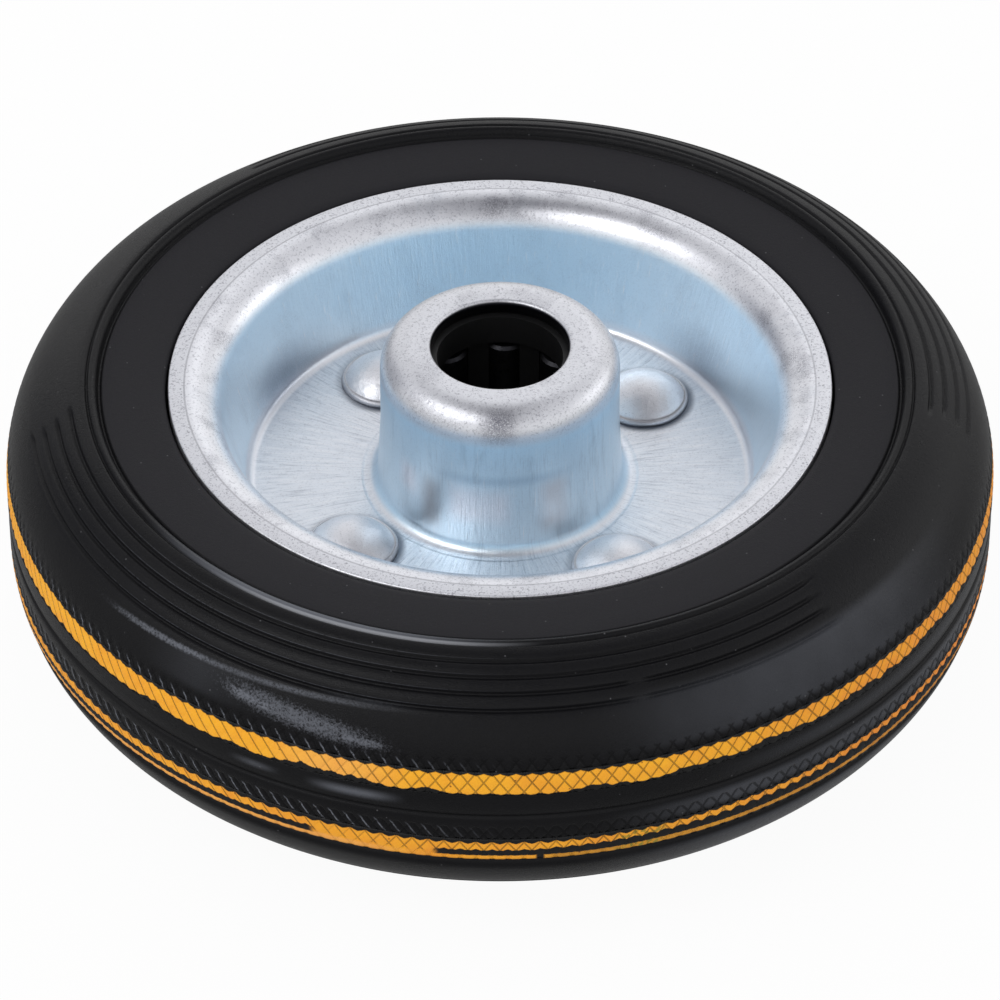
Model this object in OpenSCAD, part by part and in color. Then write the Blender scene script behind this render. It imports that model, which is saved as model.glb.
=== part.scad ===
// Trolley wheel: black rubber tyre with two inlaid yellow rings, on a riveted rim of two
// pressed steel halves, turning on a caged roller bearing. Millimetres. The wheel lies on
// its side: the axle runs along Z through the origin, which is the middle of the wheel.

/* [Tyre] */
// Outside diameter over the tread
tyre_d = 100; // [98:0.5:120]
// Nominal width across the two crests of the shoulders
tyre_w = 30; // [29:0.5:34]
// Radius of the round shoulder between the tread and the side
shoulder_r = 11.6; // [10.5:0.1:12.5]
// Depth of the flat side ring below the crest of the shoulder
side_recess = 1.1; // [0.8:0.05:1.6]
// Distance from the crest of the shoulder out to the groove round the side ring
side_step = 1.8; // [1.4:0.1:2.2]
// Width of the two fine grooves that border the round rib outside the side ring
edge_groove_w = 0.44; // [0.3:0.02:0.5]
// Width of the round rib between them
edge_rib_w = 0.86; // [0.7:0.02:1]
// Height of the round rib above the side ring
edge_rib_h = 0.68; // [0.6:0.02:0.7]
// Width and depth of the rubber lip that rises round the flange's edge
bead_lip = 0.6; // [0.3:0.05:0.8]
// Depth of the moulding line round the middle of the tread
parting_depth = 0.2; // [0.1:0.05:0.4]

/* [Side ribs] */
// Number of ring grooves in each shoulder
rib_count = 4; // [2:1:6]
// Pitch of the ring grooves, along the shoulder
rib_pitch = 1.62; // [1.2:0.02:1.7]
// Radius of the round groove between two ribs
rib_groove_r = 0.3; // [0.2:0.05:0.45]
// Angles where the bare pads of the side begin, anticlockwise from +X
pad_start = 128; // [110:1:140]
// Angle of the first pad's far end
pad_end = 186; // [160:1:200]
// Angle where the second pad begins
pad_2_start = 315; // [290:1:320]
// Angle of the second pad's far end
pad_2_end = 351; // [330:1:356]
// How far a pad's ends bulge out between the middle ribs, in degrees
pad_bulge = 2.6; // [0:0.2:3]

/* [Yellow rings] */
// Width of each yellow ring
ring_w = 2.75; // [2:0.05:3.2]
// Distance from the middle of the wheel to the middle of each yellow ring
ring_mid = 4.25; // [3.4:0.05:5]
// Depth of each yellow ring into the tread
ring_depth = 1.2; // [0.8:0.1:2]
// Clearance between a yellow ring and its groove
ring_gap = 0.05; // [0.02:0.01:0.1]

/* [Rim halves] */
// Thickness of the pressed sheet
sheet_t = 1.35; // [1.2:0.05:1.5]
// Width of the flat web between the hub and the wall
web_w = 10.7; // [9.9:0.1:12]
// Lean of the dish's wall from the axle's direction, in degrees
wall_lean = 15; // [10:1:20]
// Radius of the bend between the web and the wall, on the seen side
foot_r = 1; // [0.8:0.1:2]
// Radius of the rolled edge between the wall and the flange, on the seen side
curl_r = 3.6; // [3:0.1:4.2]
// Width of the flat flange
flange_w = 1.8; // [1.4:0.1:2.2]
// Depth of the flange below the side ring of the tyre
flange_set = 0.4; // [0.2:0.05:0.6]
// Chamfer on the flange's outer corner
flange_chamfer = 0.2; // [0.1:0.05:0.4]
// Clearance between the rim and the rubber
seat_gap = 0.1; // [0.05:0.01:0.2]
// Gap round the flange's cut edge
edge_gap = 0.3; // [0.2:0.05:0.4]

/* [Hub] */
// Length of the hub, from end to end
hub_len = 36; // [34:0.5:42]
// Growth of the hub's radius from its end to its root
hub_draft = 0.35; // [0:0.05:0.6]
// Radius of the hub's round end
hub_round = 3; // [2.4:0.1:3.2]
// Radius of the fillet between the hub and the web
root_r = 1.3; // [1:0.1:1.8]
// Depth of the coined ring round the hub's root
coin_depth = 0.1; // [0.05:0.05:0.2]
// Width of the coined ring
coin_w = 0.35; // [0.2:0.05:0.6]
// Radius of the lip that rolls into the axle's hole
lip_round = 0.5; // [0.3:0.1:1.3]
// How far the lip's hole stands back from the cage's bore
lip_reveal = 0.57; // [0.2:0.01:0.6]

/* [Rivets] */
// Number of rivets
rivet_count = 4; // [3:1:6]
// Angle of the first rivet, anticlockwise from +X
rivet_phase = 38.5; // [0:0.5:90]
// Diameter of a rivet's head
rivet_head_d = 9.4; // [7:0.1:9.6]
// Height of a rivet's head
rivet_head_h = 2.6; // [1.6:0.1:3]
// Height of the thin skirt round the head
rivet_skirt_h = 0.6; // [0.2:0.05:0.8]
// Width of the step from the skirt to the dome
rivet_skirt_w = 0.45; // [0.2:0.05:0.8]
// Diameter of a rivet's shank
rivet_shank_d = 5; // [4:0.1:5.6]
// Clearance of the shank in the two webs
rivet_gap = 0.1; // [0.05:0.01:0.2]
// Web left between the coined ring and a rivet's head
rivet_land = 0.15; // [0.05:0.05:0.5]

/* [Roller bearing] */
// Diameter of the axle that the rollers run on
axle_d = 12; // [10:0.5:13]
// Play between the axle and the rollers, on the radius
axle_play = 0.15; // [0.12:0.01:0.2]
// Number of rollers
roller_count = 8; // [6:1:8]
// Diameter of a roller
roller_d = 4.5; // [4:0.1:4.7]
// Length of a roller
roller_len = 25; // [20:0.5:26]
// Chamfer on a roller's ends
roller_chamfer = 0.3; // [0.1:0.05:0.5]
// Running clearance between the rollers and the hub's wall
roller_gap = 0.05; // [0.03:0.01:0.08]
// Angle of the first roller, anticlockwise from +X
roller_phase = 86.4; // [45:0.1:90]
// Clearance round a roller in its pocket
pocket_gap = 0.1; // [0.05:0.01:0.15]
// Clearance at each end of a roller in its pocket
pocket_end_gap = 0.2; // [0.1:0.05:0.4]
// Clearance between the cage and the hub's wall
cage_gap = 0.25; // [0.15:0.01:0.3]
// Clearance between the cage's end and the hub's lip
cage_end_gap = 0.25; // [0.15:0.05:0.5]
// How far the cage's bore stands back from the rollers' inner sides
cage_step = 0.18; // [0.14:0.01:0.2]
// Depth of the relief inside the cage, between its two end collars
cage_relief = 0.5; // [0.2:0.05:0.8]
// How far the relief runs on past the pockets at each end
relief_over = 0.5; // [0.2:0.1:1]
// Chamfer on the cage's outer corners
cage_chamfer = 1; // [0.9:0.1:1.3]

/* [Hidden] */

$fn = 96;
half = 180;
full = 360;
sides = [1, -1];
rubber = [0.09, 0.09, 0.1];
yellow = [0.95, 0.62, 0.1];
zinc = [0.74, 0.79, 0.85];
rivet_grey = [0.62, 0.62, 0.64];
cage_black = [0.05, 0.05, 0.05];
steel = [0.35, 0.36, 0.38];

// Steps along the long curves and the short ones
long_steps = 16;
short_steps = 8;

// Bearing, from the axle outwards
roller_r = roller_d / 2;
roller_in_r = axle_d / 2 + axle_play;
roller_pitch_r = roller_in_r + roller_r;
hub_bore_r = roller_pitch_r + roller_r + roller_gap;
cage_bore_r = roller_in_r + cage_step;
cage_r = hub_bore_r - cage_gap;
cage_half = hub_len / 2 - sheet_t - cage_end_gap;
pocket_r = roller_r + pocket_gap;
pocket_half = roller_len / 2 + pocket_end_gap;
relief_half = pocket_half + relief_over;

// Hub, in section
hub_top = hub_len / 2;
hub_r = hub_bore_r + sheet_t;
hub_foot_r = hub_r + hub_draft;
lip_r = cage_bore_r + lip_reveal;
root_cr = hub_foot_r + root_r;
root_z = sheet_t - coin_depth;
root_edge_r = root_cr + coin_w;
back_root_r = root_cr - hub_bore_r;

// Dish, in section: web, bend, leaning wall, rolled edge and flange
tyre_r = tyre_d / 2;
side_z = tyre_w / 2 - side_recess;
flange_z = side_z - flange_set;
foot_cr = root_edge_r + web_w;
foot_cz = sheet_t + foot_r;
curl_cz = flange_z - curl_r;
wall_rise = curl_cz + curl_r * sin(wall_lean) - foot_cz + foot_r * sin(wall_lean);
wall_out = (foot_r + curl_r) * cos(wall_lean) + wall_rise * tan(wall_lean);
curl_cr = foot_cr + wall_out;
flange_r = curl_cr + flange_w;
ledge_z = flange_z - sheet_t;

// Tyre, in section
crown_cr = tyre_r - shoulder_r;
crown_cz = tyre_w / 2 - shoulder_r;
step_r = crown_cr + side_step;
edge_rib_r = edge_rib_w / 2;
edge_rib_cr = step_r + edge_groove_w / 2 + edge_rib_r;
edge_rib_cz = side_z + edge_rib_h - edge_rib_r;
rib_angle = acos((edge_rib_cr + edge_rib_r + edge_groove_w - crown_cr) / shoulder_r);
bore_angle = 2 * wall_lean;
bead_r = flange_r + edge_gap;
parting_w = 2 * parting_depth;
degrees_per_mm = half / (PI * shoulder_r);

// Rivets and rollers stand on circles
rivet_r = rivet_head_d / 2;
rivet_pitch_r = root_edge_r + rivet_land + rivet_r;
dome_r = rivet_r - rivet_skirt_w;
dome_h = rivet_head_h - rivet_skirt_h;
dome_ball_r = (dome_r * dome_r + dome_h * dome_h) / (2 * dome_h);
dome_angle = acos(dome_r / dome_ball_r);

// Points of an arc about a centre, from one angle to another
function arc(cr, cz, r, from, to, steps) =
    [for (i = [0 : steps])
        let (a = from + (to - from) * i / steps)
        [cr + r * cos(a), cz + r * sin(a)]];

// Points turned over to the wheel's other side, in reverse order
function turned_over(points) =
    [for (i = [len(points) - 1 : -1 : 0]) [points[i][0], -points[i][1]]];

// Radius of the tread and shoulder at a height from the middle of the wheel
function crown_at(z) = crown_cr + sqrt(pow(shoulder_r, 2) - pow(max(abs(z) - crown_cz, 0), 2));

// The dish's seen side, or the same line pushed through the sheet by a depth
function dish_line(depth) = concat(
    arc(foot_cr, foot_cz, foot_r + depth, -90, -wall_lean, short_steps),
    arc(curl_cr, curl_cz, curl_r - depth, half - wall_lean, 90, short_steps));

// Section of the tyre above the wheel's middle, from the bore to the tread
tyre_section = concat(
    arc(foot_cr, foot_cz, foot_r + sheet_t + seat_gap, -bore_angle, -wall_lean, short_steps),
    arc(curl_cr, curl_cz, curl_r - sheet_t - seat_gap, half - wall_lean, 90, short_steps),
    [[curl_cr + edge_gap, ledge_z], [bead_r, ledge_z], [bead_r, side_z - bead_lip],
        [bead_r + bead_lip, side_z - bead_lip / 2]],
    arc(step_r, side_z, edge_groove_w / 2, half, full, short_steps),
    arc(edge_rib_cr, edge_rib_cz, edge_rib_r, half, 0, short_steps),
    arc(crown_cr, crown_cz, shoulder_r, rib_angle, 0, long_steps),
    [[tyre_r, parting_w / 2], [tyre_r - parting_depth, 0]]);

// Section of the upper rim half: seen side from the lip to the flange, and back
rim_section = concat(
    [[lip_r, hub_top - sheet_t]],
    arc(lip_r + lip_round, hub_top - lip_round, lip_round, half, 90, short_steps),
    arc(hub_r - hub_round, hub_top - hub_round, hub_round, 90, 0, short_steps),
    arc(root_cr, root_z + root_r, root_r, half, 270, short_steps),
    [[root_edge_r - coin_depth, root_z], [root_edge_r, sheet_t]],
    dish_line(0),
    [[flange_r - flange_chamfer, flange_z], [flange_r, flange_z - flange_chamfer],
        [flange_r, ledge_z]],
    [for (i = [len(dish_line(sheet_t)) - 1 : -1 : 0]) dish_line(sheet_t)[i]],
    arc(root_cr, back_root_r, back_root_r, 270, half, short_steps),
    arc(hub_r - hub_round, hub_top - hub_round, hub_round - sheet_t, 0, 90, short_steps));

// One ring groove in the shoulder, broken by the two bare pads with their bulging ends
module rib_groove(number) {
    turn = rib_angle - number * rib_pitch * degrees_per_mm;
    groove_r = crown_cr + shoulder_r * cos(turn);
    groove_z = crown_cz + shoulder_r * sin(turn);
    bulge = pad_bulge * sin(half * number / (rib_count + 1));
    for (run = [[pad_end + bulge, pad_2_start - bulge],
            [pad_2_end + bulge, pad_start - bulge + full]]) {
        rotate([0, 0, run[0]])
            rotate_extrude(angle = run[1] - run[0])
                translate([groove_r, groove_z])
                    circle(r = rib_groove_r, $fn = 16);
    }
}

// Groove for a yellow ring, open at the tread
module ring_groove(z) {
    low = z - ring_w / 2 - ring_gap;
    high = z + ring_w / 2 + ring_gap;
    rotate_extrude()
        polygon([[crown_at(z) - ring_depth - ring_gap, low], [tyre_r + ring_depth, low],
            [tyre_r + ring_depth, high], [crown_at(z) - ring_depth - ring_gap, high]]);
}

module tyre() {
    color(rubber)
        difference() {
            rotate_extrude()
                polygon(concat(tyre_section, turned_over(tyre_section)));
            for (side = sides) {
                ring_groove(side * ring_mid);
                for (i = [1 : rib_count]) {
                    mirror([0, 0, side > 0 ? 0 : 1])
                        rib_groove(i);
                }
            }
        }
}

// Yellow rubber ring, its outer face flush with the tread
module yellow_ring(side) {
    low = ring_mid - ring_w / 2;
    face = [for (i = [0 : short_steps])
        let (z = low + ring_w * i / short_steps) [crown_at(z), z]];
    color(yellow)
        mirror([0, 0, side > 0 ? 0 : 1])
            rotate_extrude()
                polygon(concat([[crown_at(ring_mid) - ring_depth, low]], face,
                    [[crown_at(ring_mid) - ring_depth, low + ring_w]]));
}

// Half of the rim: hub, web, dish and flange pressed from one sheet
module rim_half(side) {
    color(zinc)
        mirror([0, 0, side > 0 ? 0 : 1])
            difference() {
                rotate_extrude()
                    polygon(rim_section);
                for (i = [1 : rivet_count]) {
                    at_rivet(i)
                        cylinder(r = rivet_shank_d / 2 + rivet_gap, h = 4 * sheet_t, center = true);
                }
            }
}

module at_rivet(number) {
    rotate([0, 0, rivet_phase + (number - 1) * full / rivet_count])
        translate([rivet_pitch_r, 0, 0])
            children();
}

// Rivet with a low domed head on a thin skirt, the same at both ends
module rivet(number) {
    ball_z = sheet_t + rivet_head_h - dome_ball_r;
    head = concat(
        [[0, 0], [rivet_shank_d / 2, 0], [rivet_shank_d / 2, sheet_t], [rivet_r, sheet_t],
            [rivet_r, sheet_t + rivet_skirt_h / 2]],
        arc(0, ball_z, dome_ball_r, dome_angle, 90, short_steps));
    color(rivet_grey)
        at_rivet(number)
            for (side = sides) {
                mirror([0, 0, side > 0 ? 0 : 1])
                    rotate_extrude($fn = 48)
                        polygon(head);
            }
}

module at_roller(number) {
    rotate([0, 0, roller_phase - (number - 1) * full / roller_count])
        translate([roller_pitch_r, 0, 0])
            children();
}

// Cage: two collars joined by bars, with a pocket for each roller
module roller_cage() {
    relief_r = cage_bore_r + cage_relief;
    section = [
        [cage_bore_r, cage_half], [cage_r - cage_chamfer, cage_half],
        [cage_r, cage_half - cage_chamfer], [cage_r, cage_chamfer - cage_half],
        [cage_r - cage_chamfer, -cage_half], [cage_bore_r, -cage_half],
        [cage_bore_r, -relief_half], [relief_r, -relief_half],
        [relief_r, relief_half], [cage_bore_r, relief_half]];
    color(cage_black)
        difference() {
            rotate_extrude()
                polygon(section);
            for (i = [1 : roller_count]) {
                at_roller(i)
                    cylinder(r = pocket_r, h = 2 * pocket_half, center = true);
            }
        }
}

module roller(number) {
    color(steel)
        at_roller(number)
            rotate_extrude($fn = 48)
                polygon([[0, -roller_len / 2], [roller_r - roller_chamfer, -roller_len / 2],
                    [roller_r, roller_chamfer - roller_len / 2],
                    [roller_r, roller_len / 2 - roller_chamfer],
                    [roller_r - roller_chamfer, roller_len / 2], [0, roller_len / 2]]);
}

tyre();
yellow_ring(1);  // yellow_ring_upper
yellow_ring(-1);  // yellow_ring_lower
rim_half(1);  // rim_half_upper
rim_half(-1);  // rim_half_lower
rivet(1);  // rivet_1
rivet(2);  // rivet_2
rivet(3);  // rivet_3
rivet(4);  // rivet_4
roller_cage();
roller(1);  // roller_1
roller(2);  // roller_2
roller(3);  // roller_3
roller(4);  // roller_4
roller(5);  // roller_5
roller(6);  // roller_6
roller(7);  // roller_7
roller(8);  // roller_8
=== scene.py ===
"""Looks of a rubber trolley wheel, laid out as an add-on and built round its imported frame.

The axle runs along Z through the origin. Shapes are worked out in metres with numpy as surfaces of
revolution with a relief: a section carried round the axle, pushed in along its normal where the
rubber is grooved. Materials read Object coordinates, as millimetres and degrees round the axle.
"""
import math

import bpy
import numpy as np
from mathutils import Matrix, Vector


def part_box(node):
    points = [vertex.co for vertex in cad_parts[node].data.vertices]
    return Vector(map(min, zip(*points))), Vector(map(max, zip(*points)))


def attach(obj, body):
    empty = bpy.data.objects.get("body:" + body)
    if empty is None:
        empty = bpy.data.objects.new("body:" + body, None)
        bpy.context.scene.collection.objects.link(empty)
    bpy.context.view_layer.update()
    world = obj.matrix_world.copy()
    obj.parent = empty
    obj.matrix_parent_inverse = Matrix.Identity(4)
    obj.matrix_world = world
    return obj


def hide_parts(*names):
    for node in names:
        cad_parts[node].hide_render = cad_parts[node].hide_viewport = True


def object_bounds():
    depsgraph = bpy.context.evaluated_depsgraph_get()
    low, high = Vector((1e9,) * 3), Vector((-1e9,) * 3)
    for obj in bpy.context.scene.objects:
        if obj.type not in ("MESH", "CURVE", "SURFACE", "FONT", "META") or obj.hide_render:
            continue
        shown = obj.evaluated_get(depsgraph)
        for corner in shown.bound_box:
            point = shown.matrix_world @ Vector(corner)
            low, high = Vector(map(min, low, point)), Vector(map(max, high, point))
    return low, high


bl_info = {
    "name": "Rubber trolley wheel",
    "version": (1, 0, 0),
    "blender": (4, 5, 0),
    "location": "View3D > Sidebar > Trolley wheel",
    "description": "Makes the tyre, yellow rings, pressed rim, rivets and bearing of a trolley wheel",
    "category": "Add Mesh",
}

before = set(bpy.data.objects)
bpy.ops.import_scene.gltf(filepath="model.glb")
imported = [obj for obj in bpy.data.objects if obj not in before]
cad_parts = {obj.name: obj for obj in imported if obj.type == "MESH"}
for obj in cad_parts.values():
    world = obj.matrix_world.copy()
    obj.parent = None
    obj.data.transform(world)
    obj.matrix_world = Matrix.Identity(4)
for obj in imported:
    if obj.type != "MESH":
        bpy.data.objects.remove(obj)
cad_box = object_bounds()

MM = 0.001
TYRE_LOW, TYRE_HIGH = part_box("tyre")
RIM_LOW, RIM_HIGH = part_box("rim_half_upper")
RING_LOW, RING_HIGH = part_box("yellow_ring_upper")
TREAD_R = TYRE_HIGH.x / MM
HUB_TOP = RIM_HIGH.z / MM
FLANGE_R = RIM_HIGH.x / MM
RING_BOTTOM = RING_LOW.z / MM
RING_TOP = RING_HIGH.z / MM
HALVES = (("upper", 1), ("lower", -1))
RIVETS = ("rivet_1", "rivet_2", "rivet_3", "rivet_4")
ROLLERS = tuple(name for name in sorted(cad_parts)
                if name.startswith("roller_") and name != "roller_cage")


def length(name, description, millimetres):
    """A length that a user may change, kept in metres."""
    return bpy.props.FloatProperty(name=name, description=description,
                                   default=millimetres * MM, unit="LENGTH", precision=5)


def colour(name, description, red, green, blue):
    """A colour that a user may change."""
    return bpy.props.FloatVectorProperty(name=name, description=description, size=3,
                                         default=(red, green, blue), subtype="COLOR", min=0, max=1)


class TyreSizes(bpy.types.PropertyGroup):
    """Sizes of the tyre and its knurled, ribbed surface."""
    shoulder_r: length("Shoulder radius", "Round shoulder between tread and side", 11.6)
    half_width: length("Half width", "From the middle plane to the shoulder's crest", 15)
    side_z: length("Side ring height", "From the middle plane to the flat side ring", 13.9)
    bead_r: length("Bead radius", "Radius of the rubber round the flange", 33.635)
    bead_lip: length("Bead lip", "Rise of the rubber round the flange's edge", 0.6)
    groove_depth: length("Groove depth", "Depth of the ring grooves", 0.36)
    knurl_depth: length("Knurl depth", "Depth of the crossed knurl lines", 0.09)
    knurl_count: bpy.props.IntProperty(name="Knurls", description="Knurl diamonds round the tread",
                                       default=204)


class RimSizes(bpy.types.PropertyGroup):
    """Sizes of the pressed rim halves and rivets."""
    sheet_t: length("Sheet", "Thickness of the sheet", 1.35)
    hub_r: length("Hub radius", "Radius of the hub's straight wall", 12.05)
    hub_foot_r: length("Hub foot", "Radius of the hub at its root", 12.4)
    hub_round: length("Hub round", "Radius of the hub's round end", 3)
    lip_r: length("Lip radius", "Radius of the hole in the hub's end", 6.9)
    lip_round: length("Lip round", "Radius of the rolled lip", 0.5)
    root_r: length("Root fillet", "Fillet between hub and web", 1.3)
    foot_cr: length("Foot circle", "Radius where the web meets the bend", 24.75)
    foot_r: length("Foot bend", "Radius of the bend between web and wall", 1)
    curl_r: length("Rolled edge", "Radius of the roll between wall and flange", 3.6)
    curl_cr: length("Roll circle", "Radius where the roll meets the flange", 31.535)
    flange_z: length("Flange height", "From the middle plane to the flange", 13.5)
    wall_lean: bpy.props.FloatProperty(name="Wall lean", description="Lean of the dish's wall",
                                       default=math.radians(15), subtype="ANGLE")
    rivet_r: length("Rivet head radius", "Radius of a rivet's head", 4.7)
    rivet_h: length("Rivet head height", "Height of a rivet's head", 2.6)
    rivet_skirt: length("Rivet skirt", "Height of the thin skirt round a rivet's head", 0.6)


class WheelColours(bpy.types.PropertyGroup):
    """Colours of the finishes."""
    rubber: colour("Rubber", "Black rubber", 0.0035, 0.0035, 0.0043)
    # Grey of the scuffs on the rubber, also used for its painted highlights and painted sheen
    bloom_and_sheen: colour("Bloom", "Grey scuffs on the rubber", 0.17, 0.18, 0.21)
    yellow: colour("Yellow", "Yellow rubber", 0.98, 0.455, 0.014)
    # Orange also brings the painted shade on the right of the yellow rings
    orange: colour("Orange", "Yellow rubber where it is deeper", 0.86, 0.27, 0.02)
    zinc: colour("Zinc", "Bare bright zinc", 0.82, 0.83, 0.87)
    blue_zinc: colour("Blue zinc", "Zinc inside the dish", 0.70, 0.88, 1.0)
    rivet: colour("Rivet", "Rivet heads", 0.88, 0.88, 0.91)
    floor: colour("Floor", "Floor", 0.86, 0.86, 0.86)


class StageSizes(bpy.types.PropertyGroup):
    """The camera that sees the wheel, and the light on it."""
    camera_away: length("Camera distance", "From the wheel's middle to the camera", 600)
    camera_up: bpy.props.FloatProperty(name="Camera elevation", description="Height of the camera",
                                       default=math.radians(39.87), subtype="ANGLE")
    camera_dip: bpy.props.FloatProperty(name="Camera dip", description="Aim below the wheel's middle",
                                        default=math.radians(0.175), subtype="ANGLE")
    lens: bpy.props.FloatProperty(name="Lens", description="Focal length in millimetres", default=211.97)
    key_power: bpy.props.FloatProperty(name="Key light", description="Power of the key light", default=1.6)
    sky_strength: bpy.props.FloatProperty(name="Room light", description="Light from all round",
                                          default=0.8)


def arc(centre_r, centre_z, radius, start, end, steps):
    """Points of an arc in section: the centre plus the radius times cosine and sine of even angles."""
    angle = np.radians(np.linspace(start, end, steps + 1))
    return np.stack([centre_r + radius * np.cos(angle), centre_z + radius * np.sin(angle)], 1)


def turned_over(section):
    """A section mirrored in the wheel's middle plane, in reverse order."""
    return section[::-1] * np.array([1, -1])


def section_normals(section):
    """Unit normals of a section that runs anticlockwise: the tangent turned a quarter clockwise."""
    along = np.gradient(section, axis=0)
    along /= np.maximum(np.linalg.norm(along, axis=1, keepdims=True), 1e-12)
    return np.stack([along[:, 1], -along[:, 0]], 1)


def round_angles(columns):
    """Even angles round the axle, in radians."""
    return np.linspace(0, 2 * math.pi, columns, endpoint=False)


def carried_round(section, columns, depth=0):
    """A section carried round the axle and pushed in by depth along its normal."""
    angle = round_angles(columns)
    normal = section_normals(section)
    r = section[:, :1] - depth * normal[:, :1]
    z = section[:, 1:] - depth * normal[:, 1:]
    return np.stack([r * np.cos(angle), r * np.sin(angle), z + 0 * angle], -1)


def ring_quads(first, rows, columns, closed):
    """Quads between neighbouring rings of points, closed round the axle, and across if closed."""
    row = np.arange(rows if closed else rows - 1)[:, None]
    column = np.arange(columns)[None, :]
    right = (column + 1) % columns
    here = first + row * columns
    above = first + ((row + 1) % rows) * columns
    return np.stack([here + column, here + right, above + right, above + column], -1).reshape(-1, 4)


def ring_fans(coarse, columns, fine, share, fine_above):
    """Triangles from a coarse ring to one with a whole share of columns for each of its own."""
    column = np.arange(columns)
    right = (column + 1) % columns
    made = []
    for step in range(share):
        a = fine + column * share + step
        b = fine + (column * share + step + 1) % (columns * share)
        corner = coarse + (column if step < share / 2 else right)
        made.append(np.stack([corner, b, a] if fine_above else [corner, a, b], 1))
    middle = fine + column * share + share // 2
    ends = [coarse + column, coarse + right] if fine_above else [coarse + right, coarse + column]
    made.append(np.stack([*ends, middle], 1))
    return np.concatenate(made)


def make_piece(name, points, quads, triangles, material, body, replaced):
    """A smooth mesh from arrays of points and faces, riding on a body for the nodes it replaces."""
    mesh = bpy.data.meshes.new(name)
    mesh.vertices.add(len(points))
    mesh.vertices.foreach_set("co", np.asarray(points, np.float32).ravel())
    corners = np.concatenate([quads.ravel(), triangles.ravel()]).astype(np.int32)
    sizes = np.concatenate([np.full(len(quads), 4), np.full(len(triangles), 3)])
    mesh.loops.add(len(corners))
    mesh.loops.foreach_set("vertex_index", corners)
    mesh.polygons.add(len(sizes))
    mesh.polygons.foreach_set("loop_start", (np.cumsum(sizes) - sizes).astype(np.int32))
    mesh.polygons.foreach_set("use_smooth", np.ones(len(sizes), bool))
    mesh.update(calc_edges=True)
    mesh.validate()
    mesh.materials.append(material)
    piece = bpy.data.objects.new(name, mesh)
    bpy.context.scene.collection.objects.link(piece)
    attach(piece, body)
    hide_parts(*replaced)
    return piece


NO_TRIANGLES = np.zeros((0, 3), int)


class Field:
    """A number that varies over a surface: a socket that takes part in sums as a number does."""

    def __init__(self, paint, socket):
        self.paint = paint
        self.socket = socket

    def __add__(self, other):
        return self.paint.maths("ADD", self, other)

    def __sub__(self, other):
        return self.paint.maths("SUBTRACT", self, other)

    def __mul__(self, other):
        return self.paint.maths("MULTIPLY", self, other)

    def __truediv__(self, other):
        return self.paint.maths("DIVIDE", self, other)

    def __radd__(self, other):
        return self.paint.maths("ADD", other, self)

    def __rsub__(self, other):
        return self.paint.maths("SUBTRACT", other, self)

    def __rmul__(self, other):
        return self.paint.maths("MULTIPLY", other, self)

    def __abs__(self):
        return self.paint.maths("ABSOLUTE", self)


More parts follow.
